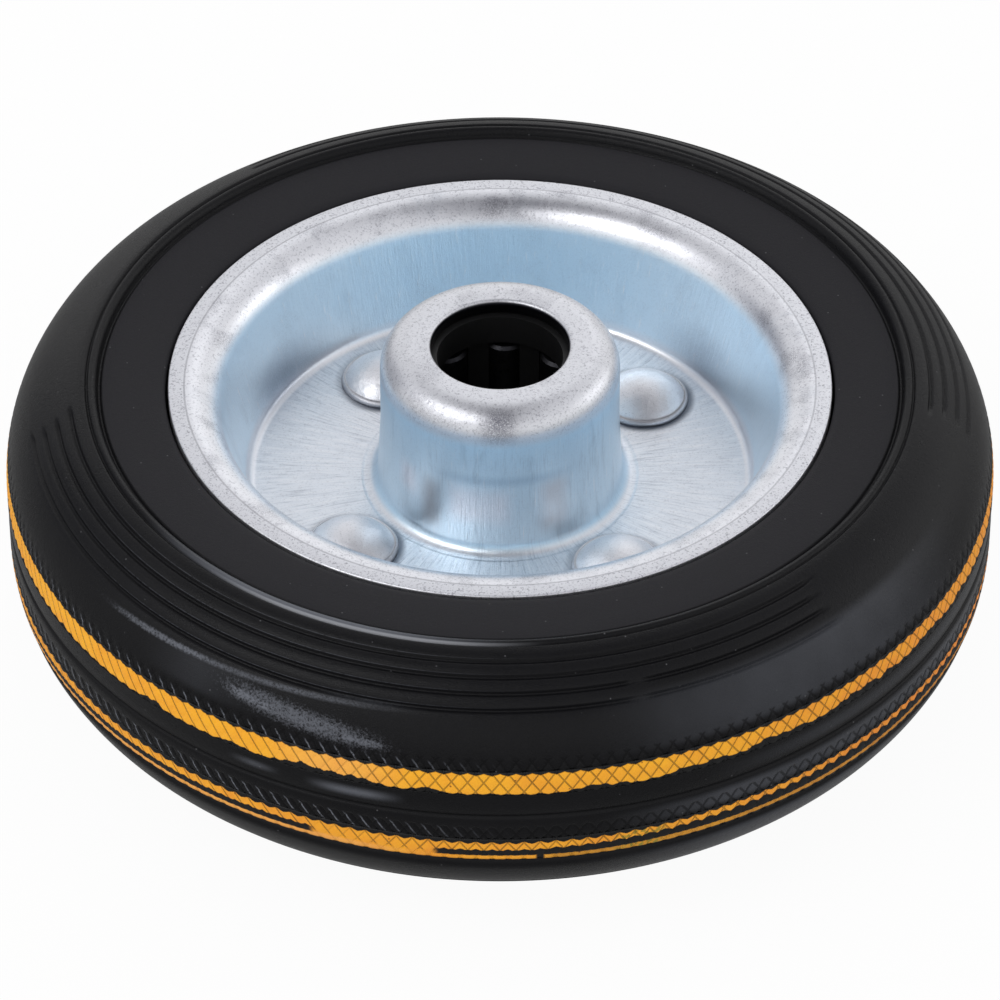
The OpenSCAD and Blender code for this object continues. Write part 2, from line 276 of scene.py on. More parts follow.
class Paint:
    """The nodes of one material or of the world, made by a few short methods."""

    def __init__(self, owner):
        owner.use_nodes = True
        self.tree = owner.node_tree
        self.tree.nodes.clear()

    def node(self, kind, settings=None, values=None, output=0):
        """Any node: its settings first, then the values or links of its sockets."""
        made = self.tree.nodes.new(kind)
        for name, value in (settings or {}).items():
            setattr(made, name, value)
        for name, value in (values or {}).items():
            if isinstance(value, Field):
                self.tree.links.new(value.socket, made.inputs[name])
            else:
                made.inputs[name].default_value = value
        return Field(self, made.outputs[output]) if made.outputs else None

    def maths(self, operation, *values):
        return self.node("ShaderNodeMath", {"operation": operation}, dict(enumerate(values)))

    def chained(self, operation, first, *others):
        """One operation carried through all the values."""
        for value in others:
            first = self.maths(operation, first, value)
        return first

    def greatest(self, *values):
        return self.chained("MAXIMUM", *values)

    def rise(self, value, low, high):
        """0 below low and 1 above high, with a smooth rise between; turned round if high is less."""
        start, end = (1.0, 0.0) if high < low else (0.0, 1.0)
        return self.node("ShaderNodeMapRange", {"interpolation_type": "SMOOTHSTEP"},
                         {0: value, 1: min(low, high), 2: max(low, high), 3: start, 4: end})

    def band(self, value, low, high, soft):
        """1 between low and high, and 0 outside, with soft edges."""
        return self.rise(value, low - soft, low + soft) * self.rise(value, high + soft, high - soft)

    def noise(self, place, scale, detail=2.0, roughness=0.5, distortion=0.0):
        return self.node("ShaderNodeTexNoise", {"noise_dimensions": "3D"},
                         {"Vector": place, "Scale": scale, "Detail": detail, "Roughness": roughness,
                          "Distortion": distortion})

    def specks(self, place, scale, size):
        """Round specks: 1 near some of the points of a Voronoi pattern, and 0 elsewhere."""
        near = self.node("ShaderNodeTexVoronoi", {"feature": "F1"}, {"Vector": place, "Scale": scale})
        return self.rise(near, size, size * 0.5)

    def mix(self, factor, first, second):
        """A colour between two, by a factor from 0 to 1."""
        made = self.tree.nodes.new("ShaderNodeMix")
        made.data_type = "RGBA"
        for socket, value in zip((made.inputs[0], made.inputs[6], made.inputs[7]), (factor, first, second)):
            if isinstance(value, Field):
                self.tree.links.new(value.socket, socket)
            elif isinstance(value, (int, float)):
                socket.default_value = value
            else:
                socket.default_value = (*value, 1)
        return Field(self, made.outputs[2])

    def layered(self, base, *layers):
        """A colour under layers, from the lowest up: each is a factor and the colour that it brings."""
        for factor, shade in layers:
            base = self.mix(factor, base, shade)
        return base

    def parts(self, vector):
        """The three parts of a vector."""
        outputs = self.node("ShaderNodeSeparateXYZ", values={0: vector}).socket.node.outputs
        return [Field(self, part) for part in outputs]

    def point(self):
        """Object coordinates in millimetres."""
        metres = self.node("ShaderNodeTexCoord", output=3)
        return self.node("ShaderNodeVectorMath", {"operation": "SCALE"}, {0: metres, "Scale": 1 / MM})

    def place(self):
        """The point in millimetres, its radius, height and angle in degrees."""
        point = self.point()
        x, y, z = self.parts(point)
        radius = self.maths("SQRT", x * x + y * y)
        angle = self.maths("FLOORED_MODULO", self.maths("ARCTAN2", y, x) * math.degrees(1), 360.0)
        return point, radius, z, angle

    def ray(self, *kinds):
        """1 for a ray of one of these kinds."""
        outputs = self.node("ShaderNodeLightPath").socket.node.outputs
        return self.greatest(*[Field(self, outputs[f"Is {kind} Ray"]) for kind in kinds])

    def stretched(self, x, y, z):
        return self.node("ShaderNodeCombineXYZ", values={0: x, 1: y, 2: z})

    def surface(self, colour, roughness, height, depth, **constants):
        """The shader itself, with a bump from a height field and constants on its own sockets."""
        bump = self.node("ShaderNodeBump", values={"Height": height, "Distance": depth})
        values = {"Base Color": colour, "Roughness": roughness, "Normal": bump}
        values.update({name.replace("_", " "): value for name, value in constants.items()})
        shader = self.node("ShaderNodeBsdfPrincipled", values=values)
        self.node("ShaderNodeOutputMaterial", values={"Surface": shader})


# Height that a knurl line climbs in one pitch round the tread
KNURL_CLIMB = 2.2
# Ring grooves of the shoulder, as degrees up from the tread's edge
RIB_GROOVES = (41.3, 49.3, 57.3, 65.3)
# Top and bottom of the two knurled strips of the tread, the upper one first
KNURL_TOPS = (6.95, -1.25)
KNURL_BOTTOMS = (RING_BOTTOM, -4.45)
# Grey flecked scuffs on the rubber, partly painted highlights; the last is a painted highlight along the
# outer rib: middle angle and height, half sizes, fall in each degree, strength
SCUFFS_AND_HIGHLIGHTS = ((247, 8.3, 16, 1.9, 0.08, 0.62), (241, 8.6, 7, 0.9, 0.08, 0.8), (254, 7.6, 6, 0.8, 0.06, 0.7),
          (227, 10.0, 14, 0.5, -0.03, 0.5))
# Painted sheen: soft grey highlights on the rubber: start and end angle, low and high height, softness
# round, strength
PAINTED_SHEENS = ((278, 340, 6.0, 11.8, 13, 0.2), (280, 352, -2.9, -0.2, 9, 0.26), (292, 352, 0.4, 2.7, 9, 0.12),
         (278, 356, -13, -6.2, 12, 0.22), (224, 243, 6.8, 10.6, 6, 0.10), (238, 245.5, 0.9, 2.3, 2.5, 0.75),
         (247.5, 260, 0.7, 2.5, 3, 0.70))


def knurl_lines(paint, angle, z, count, half_width):
    """The two families of knurl lines: each is 1 on lines that climb KNURL_CLIMB in a turn of one pitch."""
    pitch_turn = angle * (count / 360)
    climb = z * (1 / KNURL_CLIMB)
    lines = []
    for direction in (1.0, -1.0):
        share = paint.maths("FRACT", pitch_turn + climb * direction)
        lines.append(paint.rise(abs(share - 0.5), 0.5 - half_width, 0.5 - half_width * 0.3))
    return lines


def flash_noise(paint, angle, scale, seed):
    """A number from 0 to 1 that varies only round the wheel."""
    turn = angle * math.radians(1)
    around = paint.stretched(paint.maths("COSINE", turn), paint.maths("SINE", turn), seed)
    return paint.noise(around, scale, 3.0, 0.6)


def scuff_and_highlight_patches(paint, z, angle, fleck, mottle):
    """Grey scuffs, partly painted highlights: slanted patches that fade out from their middles and break up
    into flecks.
    """
    patches = []
    for middle, height, half_turn, half_height, fall, strength in SCUFFS_AND_HIGHLIGHTS:
        off = z - height + (angle - middle) * fall
        patch = paint.rise(abs(angle - middle), half_turn, half_turn * 0.2)
        patch = patch * paint.rise(abs(off), half_height, half_height * 0.15)
        patches.append(patch * paint.rise(fleck + mottle * 0.35 + patch * 0.30, 0.78, 1.04) * strength)
    return paint.greatest(*patches)


def painted_sheen_patches(paint, z, angle, cloud):
    """Painted sheen: soft grey highlights as clouded patches with soft edges."""
    patches = []
    for start, end, low, high, soft, strength in PAINTED_SHEENS:
        patch = paint.band(angle, start + soft, end - soft, soft)
        patch = patch * paint.band(z, low + 0.5, high - 0.5, 0.5)
        patches.append(patch * (0.6 + cloud * 0.8) * strength)
    return paint.greatest(*patches)


def shoulder_glints(paint, radius, z, angle, fleck, mottle, sizes):
    """Grey light on the left of the shoulder: the grooves' rims, the last rib and the ridge's flank."""
    shoulder_r = sizes.shoulder_r / MM
    shoulder_z = sizes.half_width / MM - shoulder_r
    turn = paint.maths("ARCSINE", (z - shoulder_z) / shoulder_r) * math.degrees(1)
    rims = [paint.band(turn, groove + 1.1, groove + 1.5, 0.25) for groove in RIB_GROOVES]
    rims = paint.greatest(*rims) * paint.band(angle, 212, 262, 14) * paint.rise(radius, 40.5, 41.5)
    lean = turn - (angle - 225) * 0.14
    last_rib = paint.band(lean, 33.2, 35.6, 0.9) * paint.band(angle, 224, 254, 8)
    last_rib = last_rib * paint.rise(fleck, 0.3, 0.6)
    flank = paint.band(radius, 40.55, 41.5, 0.2) * paint.rise(z, 14.1, 14.4)
    flank = flank * paint.band(angle, 224, 262, 12)
    return rims * paint.rise(mottle, 0.25, 0.6) * 0.4 + flank * 0.6 + last_rib * 0.5


def rubber_material(name, colours, sizes):
    """Black rubber: matte side ring, glossier shoulders, scuffed bloom, dust and fine grain, with painted
    highlights, sheen and shade.
    """
    material = bpy.data.materials.new(name)
    paint = Paint(material)
    point, radius, z, angle = paint.place()
    grain = paint.noise(point, 9.0, 3.0, 0.6)
    cloud = paint.noise(point, 0.16, 3.0, 0.55)
    mottle = paint.noise(point, 2.6, 4.0, 0.72)
    fleck = paint.noise(point, 4.2, 4.0, 0.8)
    bloom_and_sheen = tuple(colours.bloom_and_sheen)

    side = paint.band(radius, 33.0, 39.9, 0.15) * paint.rise(abs(z), 12.0, 13.0)
    tread_face = paint.rise(radius, 47.0, 48.5)
    # Scuffs, partly painted highlights of the lamps
    scuff_and_highlight = scuff_and_highlight_patches(paint, z, angle, fleck, mottle)
    # Painted highlight: a bright line along the steep outer wall of the side ring's ridge, on the left
    # front
    ridge_highlight = paint.band(radius, 41.27, 41.42, 0.06) * paint.rise(z, 14.0, 14.1)
    ridge_highlight = ridge_highlight * paint.band(angle, 234, 268, 9)
    strips = [paint.band(z, low, high, 0.12) for low, high in zip(KNURL_BOTTOMS, KNURL_TOPS)]
    knurl = paint.greatest(*knurl_lines(paint, angle, z, sizes.knurl_count, 0.16))
    knurl = knurl * paint.greatest(*strips) * tread_face
    # Painted highlight: light lines along the knurl's crests at the strips' edges, on the left of the tread
    crest_highlight = paint.maths("FRACT", angle * (sizes.knurl_count / 360) + z * (1 / KNURL_CLIMB) + 0.5)
    crest_highlight = paint.rise(abs(crest_highlight - 0.5), 0.41, 0.47) * paint.band(angle, 200, 262, 10)
    edge = paint.greatest(paint.band(z, RING_TOP, 6.5, 0.25), paint.band(z, -2.9, -1.4, 0.25))
    crest_highlight = crest_highlight * edge * tread_face * paint.rise(mottle, 0.3, 0.6)
    base = paint.layered(
        tuple(colours.rubber),
        (side * 0.75 + cloud * 0.15, (0.0185, 0.018, 0.0215)),
        # painted sheen: soft grey highlights on shoulders and tread
        (painted_sheen_patches(paint, z, angle, cloud), bloom_and_sheen),
        (shoulder_glints(paint, radius, z, angle, fleck, mottle, sizes), bloom_and_sheen),
        # painted highlight on the ridge's outer wall
        (ridge_highlight * 0.8, (0.34, 0.35, 0.38)),
        # scuffs, partly painted highlights
        (scuff_and_highlight, bloom_and_sheen),
        (paint.specks(point, 0.55, 0.055) * 0.5, (0.16, 0.16, 0.17)),
        # painted shade in the knurl grooves
        (knurl * 0.6, (0.0015, 0.0015, 0.002)),
        # painted highlight on the knurl crests
        (crest_highlight * 0.8, bloom_and_sheen))
    rough = 0.20 + side * 0.33 + mottle * 0.12 + cloud * 0.06 + scuff_and_highlight * 0.15
    relief = grain * 0.35 + mottle * 0.35 - knurl * 0.3 + scuff_and_highlight * 0.2
    paint.surface(base, rough, relief, 0.00010, Specular_IOR_Level=0.16)
    return material


def black_flash(paint, z, angle, tooth, upper, plain):
    """Black rubber over the yellow: ragged edges, and the lower ring's line, break, step and join."""
    broad = flash_noise(paint, angle, 9.0, 0.0)
    fine = flash_noise(paint, angle, 60.0, 3.0)
    slide = paint.rise(angle, 277, 302)
    thin = paint.band(angle, 245.5, 256.5, 3.0) * (0.35 + fine * 0.7)
    low_edge = RING_BOTTOM + 0.05 + paint.rise(broad, 0.45, 0.7) * 0.6 + fine * 0.28
    low_edge = low_edge - tooth * 0.1 + slide * 0.35 + thin * 0.8
    high_edge = RING_TOP - 0.32 + tooth * 0.3 - broad * 0.2
    over_upper = paint.greatest(paint.rise(z - low_edge, 0.06, -0.06),
                                paint.rise(z - high_edge, -0.06, 0.06))

    apart = 1.0 - paint.band(angle, 248.7, 262.8, 0.5)
    line = paint.band(z - slide * 0.45, -5.08, -4.34, 0.06) * apart
    wave = (1.0 - plain) * fine * 0.3 + tooth * 0.34
    ragged = paint.rise(z + 3.98 + wave - slide * 0.45, 0.05, -0.05) * paint.rise(z, -4.9, -4.8) * apart
    gap = paint.band(angle, 274.0, 274.9, 0.15) * paint.rise(z, -4.6, -4.8)
    bottom = paint.rise(z + 5.7 - slide * 0.25 - broad * 0.2, 0.06, -0.06)
    bead_top = -RING_BOTTOM - 0.34 - tooth * 0.26 + slide * 0.3
    over_lower = paint.greatest(line, ragged, gap, bottom, paint.rise(z - bead_top, -0.05, 0.05))
    return over_upper * upper + over_lower * (1.0 - upper)


def yellow_material(name, colours, sizes):
    """Yellow rubber with painted shade along its knurl lines and on its right, and flashes of black rubber
    over its edges.
    """
    material = bpy.data.materials.new(name)
    paint = Paint(material)
    point, _, z, angle = paint.place()
    cloud = paint.noise(point, 0.35, 3.0, 0.6)
    falling, rising = knurl_lines(paint, angle, z, sizes.knurl_count, 0.085)
    knurl = paint.greatest(falling, rising * paint.rise(angle, 246, 262))
    tooth = abs(paint.maths("FRACT", angle * (sizes.knurl_count / 360)) - 0.5) * 2.0
    upper = paint.rise(z, -0.5, 0.5)
    plain = paint.rise(angle, 273, 277)
    black = black_flash(paint, z, angle, tooth, upper, plain)
    # Painted shade: the yellow deepens to orange on the right of the wheel; clouds and the lower ring add a
    # deeper tone of its own
    right = paint.greatest(paint.rise(angle, 285, 330), paint.rise(angle, 60, 20))
    deep_tone_and_shade = paint.rise(cloud, 0.3, 0.75) * 0.4 + right * 0.5 + (1.0 - upper) * 0.25
    pink = paint.greatest(paint.band(angle, 246, 257, 4) * upper * 0.4,
                          paint.rise(z, -4.8, -5.1) * paint.band(angle, 190, 258, 6) * 0.5)
    olive = paint.rise(z, -4.6, -4.8) * plain * (0.3 + cloud * 0.5)
    green = paint.band(angle, 283, 288.5, 1.0) * (1.0 - upper)
    green = green * paint.rise(paint.noise(point, 2.2), 0.45, 0.6)
    tint = paint.layered(
        tuple(colours.yellow),
        # deeper tone, and painted shade on the right
        (deep_tone_and_shade, tuple(colours.orange)),
        (pink, (0.94, 0.44, 0.13)),
        (olive, (0.36, 0.18, 0.015)),
        (green * 0.7, (0.16, 0.20, 0.02)),
        # painted shade along the knurl lines
        (knurl * (0.35 + cloud * 0.5) * paint.rise(z, -4.9, -4.6), (0.10, 0.055, 0.004)),
        (paint.specks(point, 0.6, 0.085) * 0.75, (0.16, 0.03, 0.004)),
        (black, tuple(colours.rubber)))
    relief = black * 0.9 - knurl * 0.9 + paint.noise(point, 3.0, 3.0, 0.6) * 0.4
    paint.surface(tint, 0.42 + cloud * 0.16, relief, 0.00007, Specular_IOR_Level=0.35)
    return material


# Darker and paler grey patches on the front of the hub's side: start and end angle, low and high height,
# shade
HUB_MARKS = ((290, 303, 3.6, 9.4, 0.60), (231, 240, 3.2, 8.6, 0.38), (246, 274, 4.8, 8.8, 0.92),
             (216, 226, 6.0, 9.0, 0.95))
# Painted shade at the foot of the dish's wall, where it meets the web: start and end angle, strength
FOOT_SHADES = ((140, 162, 0.75), (30, 44, 0.6), (318, 334, 0.35))


def rivet_offsets(paint, point):
    """Distance from the nearest rivet's axis, and the offset from it to the right front, in millimetres."""
    x, y = paint.parts(point)[:2]
    aways, leans = [], []
    for node in RIVETS:
        low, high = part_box(node)
        across = x - (low.x + high.x) / (2 * MM)
        along = y - (low.y + high.y) / (2 * MM)
        away = paint.maths("SQRT", across * across + along * along)
        aways.append(away)
        leans.append((across - along) * math.sqrt(0.5) * paint.rise(away, 6.5, 6.0))
    return paint.chained("MINIMUM", *aways), paint.chained("ADD", *leans)


def drawn_streaks(paint, angle, radius, height, across, up, out):
    """A place that changes fast round the axle and slowly up and out, for streaks drawn along the sheet."""
    turn = angle * math.radians(1)
    return paint.stretched(paint.maths("COSINE", turn) * across, paint.maths("SINE", turn) * across,
                           height * up + radius * out)


def hub_marks(paint, angle, height, hub_side, cloud):
    """Layers of the darker and paler grey patches on the front of the hub's side."""
    return [(hub_side * paint.band(angle, start, end, 5) * paint.band(height, low, high, 1.2)
             * (0.25 + cloud * 0.7), (shade, shade, shade * 1.06))
            for start, end, low, high, shade in HUB_MARKS]


def painted_foot_shade(paint, angle, radius, height, grain):
    """Layers of the painted shade at the foot of the dish's wall."""
    foot = paint.band(radius, 25.2, 27.2, 0.6) * paint.rise(height, 7.5, 3.0)
    return [(foot * paint.band(angle, start, end, 10) * (0.5 + grain * 0.7) * strength, (0.16, 0.20, 0.28))
            for start, end, strength in FOOT_SHADES]


def zinc_material(name, colours):
    """Zinc on pressed sheet: lilac-white ends, blue dish, brush streaks, dark grain on the curls, painted
    shade and a painted reflection.
    """
    material = bpy.data.materials.new(name)
    paint = Paint(material)
    point, radius, z, angle = paint.place()
    height = abs(z)
    streaks = paint.noise(drawn_streaks(paint, angle, radius, height, 60.0, 0.25, 0.22), 1.3, 3.0, 0.65)
    wide = drawn_streaks(paint, angle, radius, height, 9.0, 0.12, 0.08)
    blotches = paint.noise(wide, 1.0, 4.0, 0.62, 0.4)
    grain = paint.noise(point, 4.2, 3.0, 0.75)
    fine_grain = paint.noise(point, 9.5, 2.0, 0.7)
    cloud = paint.noise(point, 0.22, 3.0, 0.55)
    away, lean = rivet_offsets(paint, point)

    hub_end = paint.rise(radius, 12.6, 11.6) * paint.rise(height, 14.2, 15.6)
    hub_side = paint.band(radius, 11.4, 12.9, 0.4) * paint.rise(height, 15.4, 14.0)
    web = paint.band(radius, 13.2, 25.0, 0.5) * paint.rise(height, 3.0, 2.0)
    wall = paint.band(radius, 25.3, 29.3, 0.6) * paint.band(height, 2.2, 11.4, 0.8)
    curl_up = paint.rise(height, 10.6, 12.0)
    curl = paint.band(radius, 28.4, 31.9, 0.5) * curl_up
    seam = paint.band(radius, 31.62, 31.80, 0.06) * curl_up
    flange = paint.rise(radius, 31.75, 31.95)
    # Painted shade: the lip's wall facing the bore is made near black
    inside = paint.rise(radius, 7.1, 6.95)

    pale = paint.rise(streaks, 0.42, 0.72)
    dark_lines = paint.rise(streaks, 0.47, 0.34) * paint.rise(cloud, 0.35, 0.6)
    light_lines = paint.rise(streaks, 0.60, 0.72)
    ring = hub_side * paint.band(height, 9.6, 10.4, 0.7) * paint.band(angle, 244, 300, 14)
    blot = paint.rise(blotches, 0.52, 0.78) * (hub_side * 0.3 + wall * 0.14 + curl * 0.2)
    speck = paint.rise(grain, 0.52, 0.66)
    speck = speck * (hub_end * 0.45 + curl * 0.40 + flange * 0.50 + web * 0.12 + 0.08)
    smudge = paint.rise(cloud, 0.50, 0.68) * paint.rise(fine_grain, 0.40, 0.56)
    smudge = smudge * (curl * 0.45 + wall * 0.1 + hub_end * 0.3)
    # Painted reflection: a dark speckled patch on the front of the hub's round end, where it mirrors the
    # dark room overhead
    patch = hub_end * paint.band(angle, 262, 277, 6) * paint.rise(radius, 9.6, 11.0)
    patch = patch * paint.rise(fine_grain, 0.34, 0.52)
    # Painted shade round each rivet on the web, darker on its right front side
    rivet_contact_shade = paint.rise(away, 5.6, 4.8) * (0.35 + paint.rise(lean, -2.0, 3.0) * 0.5) * web
    tint = paint.layered(
        tuple(colours.zinc),
        (hub_side * 0.85 + wall * 0.75 + web * 0.15, tuple(colours.blue_zinc)),
        (web * pale * 0.7, (0.96, 0.97, 1.0)),
        (dark_lines * (web * 0.3 + hub_side * 0.15), (0.22, 0.24, 0.30)),
        (light_lines * (wall * 0.5 + hub_side * 0.5), (0.95, 0.97, 1.0)),
        *hub_marks(paint, angle, height, hub_side, cloud),
        (ring * 0.45, (0.30, 0.46, 0.60)),
        # painted shade at the wall's foot
        *painted_foot_shade(paint, angle, radius, height, fine_grain),
        (blot, (0.20, 0.27, 0.34)),
        (speck, (0.20, 0.20, 0.24)),
        # dark smudges, and the painted dark reflection on the hub's front
        (paint.greatest(smudge, patch * 0.75), (0.13, 0.13, 0.17)),
        (seam * 0.5 + flange * 0.05 + hub_end * 0.08, (0.24, 0.24, 0.27)),
        # painted shade round the rivets
        (rivet_contact_shade, (0.14, 0.16, 0.20)),
        # painted shade in the bore
        (inside, (0.02, 0.02, 0.025)))
    rough = 0.26 + flange * 0.12 + hub_end * 0.08 + web * 0.10 + grain * 0.10 + pale * 0.05
    relief = streaks * (web * 0.8 + hub_side * 0.8 + wall * 0.8)
    relief = relief + fine_grain * 0.25 + grain * 0.3 + blotches * 0.9
    paint.surface(tint, rough, relief, 0.00005, Metallic=1.0)
    return material


def rivet_material(name, colours):
    """Rivet heads: dull grey metal, hammered faintly, with painted shade at the foot and on the right front
    side.
    """
    material = bpy.data.materials.new(name)
    paint = Paint(material)
    point = paint.point()
    height_over = abs(paint.parts(point)[2])
    away, lean = rivet_offsets(paint, point)
    mottle = paint.noise(point, 0.8, 4.0, 0.65)
    grain = paint.noise(point, 6.0, 3.0, 0.7)
    foot = paint.rise(height_over, 1.9, 1.35)
    tint = paint.layered(
        tuple(colours.rivet),
        (paint.rise(mottle, 0.35, 0.7), (0.93, 0.93, 0.96)),
        # painted shade on the skirt by the web, with dark grain specks
        (foot * 0.4 + paint.rise(grain, 0.52, 0.68) * 0.25, (0.20, 0.20, 0.22)),
        # painted shade on each head's right front side
        (paint.rise(lean, 0.8, 3.6) * 0.42, (0.24, 0.24, 0.27)),
        (paint.rise(away, 3.9, 4.5) * 0.35, (0.20, 0.20, 0.23)))
    paint.surface(tint, 0.40 + mottle * 0.12, mottle + grain * 0.25, 0.00010, Metallic=1.0)
    return material


def bearing_material(name, tint, metallic, roughness, scale):
    """Dark plastic or oiled steel inside the hub, with grease clouds and a fine grain, in tints darkened as
    painted shade.
    """
    material = bpy.data.materials.new(name)
    paint = Paint(material)
    point = paint.point()
    grease = paint.noise(point, scale, 4.0, 0.6)
    grain = paint.noise(point, scale * 9, 2.0, 0.6)
    shade = paint.mix(paint.rise(grease, 0.4, 0.7), tint, tuple(0.45 * part for part in tint))
    paint.surface(shade, roughness + grease * 0.15, grease * 0.5 + grain * 0.2, 0.00005, Metallic=metallic)
    return material


# Columns of points round the tyre's plain bands, and how many times finer its knurled ones are
COARSE = 408
FINE_SHARE = 4
# Columns of points round a rim half and round a rivet, and radius of a rivet's shank
RIM_COLUMNS = 384
RIVET_COLUMNS = 72
RIVET_SHANK_R = 2.5
# Half the width of a knurl groove, as a share of the pitch, and the lower ring's share of its depth
KNURL_HALF_WIDTH = 0.19
LOWER_KNURL_SHARE = 0.75
# The yellow rings' channels: depth, running gap in metres, and thickness of the rings themselves
CHANNEL_DEPTH = 1.35
CHANNEL_GAP = 0.04 * MM
RING_DEPTH = 1.2
# Heights of the rings of points in the tread's middle band
MIDDLE_HEIGHTS = (-0.95, -0.6, -0.3, -0.16, 0, 0.16, 0.3, 0.7, 1.1, 1.5, 1.9, 2.3, 2.6)
# A ring groove's section: distance from its middle along the shoulder, and share of the depth
GROOVE_STEPS = ((-0.38, 0), (-0.27, 0.14), (-0.13, 0.88), (0, 1), (0.13, 0.88), (0.27, 0.14), (0.38, 0))
# The ridge and the groove round the side ring, as radius and height, from the shoulder inwards
SIDE_RIDGE = ((41.85, 14.46), (41.68, 14.44), (41.56, 14.27), (41.47, 14.2), (41.38, 14.27),
              (41.28, 14.54), (41.1, 14.6), (40.85, 14.56), (40.6, 14.36), (40.47, 14.0),
              (40.36, 13.62), (40.2, 13.54), (40.06, 13.62), (39.96, 13.86))
# Bare pads of the sidewall, as start and end angles, and how far their ends bulge, in degrees
PADS = ((128, 186), (315, 351))
PAD_BULGE = 2.6
# The break in the two outer ring grooves: its middle angle, and how far up the shoulder it runs
FLAW_ANGLE = 286.5
FLAW_END = 51


def crown(z, sizes):
    """Radius of the tread at a height: the flat tread, then the shoulder's circle."""
    r = sizes.shoulder_r
    over = np.maximum(np.abs(z) - (sizes.half_width - r), 0)
    return TREAD_R * MM - r + np.sqrt(r ** 2 - over ** 2)


def knurl_depths(z, columns, sizes):
    """Depth of the knurl: the deeper of two families of slanted grooves, each a narrow V."""
    angle = round_angles(columns)[None, :]
    depth = np.zeros((len(z), columns))
    for direction in (1, -1):
        turn = angle * sizes.knurl_count / (2 * math.pi) + direction * z[:, None] / (KNURL_CLIMB * MM)
        off = np.abs(turn - np.round(turn))
        depth = np.maximum(depth, np.clip(1 - off / KNURL_HALF_WIDTH, 0, 1))
    return sizes.knurl_depth * depth


def in_pad(angle, row_angle):
    """1 on the bare pads, whose ends bulge as half circles between the grooves, and in the flaw."""
    middle = (RIB_GROOVES[0] + RIB_GROOVES[-1]) / 2
    across = np.clip((row_angle - middle) / (RIB_GROOVES[-1] - RIB_GROOVES[0]) * 1.6, -1, 1)
    bulge = PAD_BULGE * np.sqrt(1 - across ** 2)[:, None]
    found = np.clip(1.2 - np.abs(angle - FLAW_ANGLE), 0, 1) * (row_angle[:, None] < FLAW_END)
    for start, end in PADS:
        inside = np.minimum(angle - start + bulge, end + bulge - angle)
        found = np.maximum(found, np.clip(inside + 0.5, 0, 1))
    return found


def shoulder_side(sizes):
    """The tyre's upper side, from the knurl's edge in to the bead.

    Gives its points, their shares of the groove depth, and their angles up the shoulder."""
    r = sizes.shoulder_r / MM
    centre = TREAD_R - r, sizes.half_width / MM - r
    start = math.degrees(math.asin((KNURL_TOPS[0] - centre[1]) / r))
    turns = list(np.linspace(start, RIB_GROOVES[0] - 4.5, 8))
    shares = [0.0] * len(turns)
    degree = math.degrees(1 / r)
    for groove in RIB_GROOVES:
        turns += [groove + step * degree for step, share in GROOVE_STEPS] + [groove + 4]
        shares += [share for step, share in GROOVE_STEPS] + [0.0]
    turn = np.radians(turns)
    round_part = np.stack([centre[0] + r * np.cos(turn), centre[1] + r * np.sin(turn)], 1)
    side_z, bead, lip = (size / MM for size in (sizes.side_z, sizes.bead_r, sizes.bead_lip))
    flat = [(39.8, side_z - 0.02), (38, side_z - 0.06), (36, side_z - 0.13),
            (bead + lip + 0.3, side_z - lip / 2 + 0.02), (bead + lip, side_z - lip / 2 - 0.03),
            (bead + lip / 2, side_z - 0.7 * lip), (bead, side_z - lip)]
    plain = len(SIDE_RIDGE) + len(flat)
    points = np.concatenate([round_part, SIDE_RIDGE, flat]) * MM
    return (points, np.concatenate([shares, np.zeros(plain)]),
            np.concatenate([np.degrees(turn), np.full(plain, 90.0)]))


def bore_side(rim, sizes):
    """The moulded seat behind the upper rim half, from the flange's edge down to the middle."""
    gap = 0.1 * MM
    lean = math.degrees(rim.wall_lean)
    ledge = rim.flange_z - rim.sheet_t
    curl = arc(rim.curl_cr, rim.flange_z - rim.curl_r, rim.curl_r - rim.sheet_t - gap, 90, 180 - lean, 6)
    foot = arc(rim.foot_cr, rim.sheet_t + rim.foot_r, rim.foot_r + rim.sheet_t + gap, -lean, -2 * lean, 4)
    return np.concatenate([[(sizes.bead_r, ledge), (rim.curl_cr + 3 * gap, ledge)], curl, foot])


def moulding_line(z):
    """How far the tread's middle band sinks at a height in millimetres: two slopes and a thin line."""
    above = 0.16 * ((z - 1.6) / 1.5) ** 2 * (z < 1.6)
    below = 0.12 * (z + 1) ** 2 * (z > -1)
    return np.where(z > 0, above, below) + 0.22 * np.exp(-(z / 0.14) ** 2)


def tread(heights, sizes):
    """Section of the tread at some heights in millimetres."""
    z = np.asarray(heights) * MM
    return np.stack([crown(z, sizes), z], 1)


def channel(start, end, sizes):
    """Section of a yellow ring's channel, from its lower to its upper edge, in metres."""
    floor_r = (TREAD_R - CHANNEL_DEPTH) * MM
    return [(crown(start, sizes), start - CHANNEL_GAP), (floor_r, start - CHANNEL_GAP),
            (floor_r, end + CHANNEL_GAP)]


